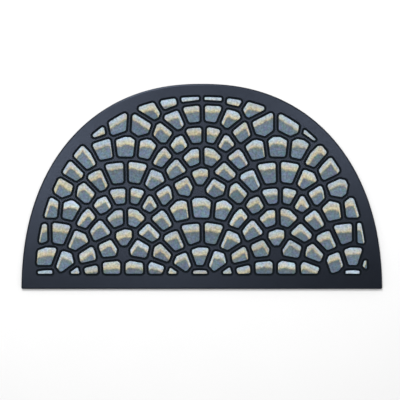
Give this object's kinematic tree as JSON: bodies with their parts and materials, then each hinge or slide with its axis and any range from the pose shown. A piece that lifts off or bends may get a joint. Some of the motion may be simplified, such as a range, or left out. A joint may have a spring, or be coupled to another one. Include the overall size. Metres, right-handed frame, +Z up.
{
  "type": "doormat",
  "caption": "Half-round rubber doormat, a flat moulded sheet with a plain border and raised paving stones laid in fans, parted by narrow grooves.",
  "frame": {"origin": "on the underside, under the middle of the mat's width and depth", "axes": "+X along the straight edge, +Y towards the crown of the arch, +Z up out of the tread face"},
  "size_m": [0.6998, 0.398, 0.008],
  "materials": {
    "rubber": "matt charcoal moulded rubber with a fine grain",
    "printed_flock": "short printed fibre flock on the raised stones, pale blue to ochre to slate blue"
  },
  "bodies": {
    "root": {"rubber_mat": "rubber"}
  },
  "joints": []
}
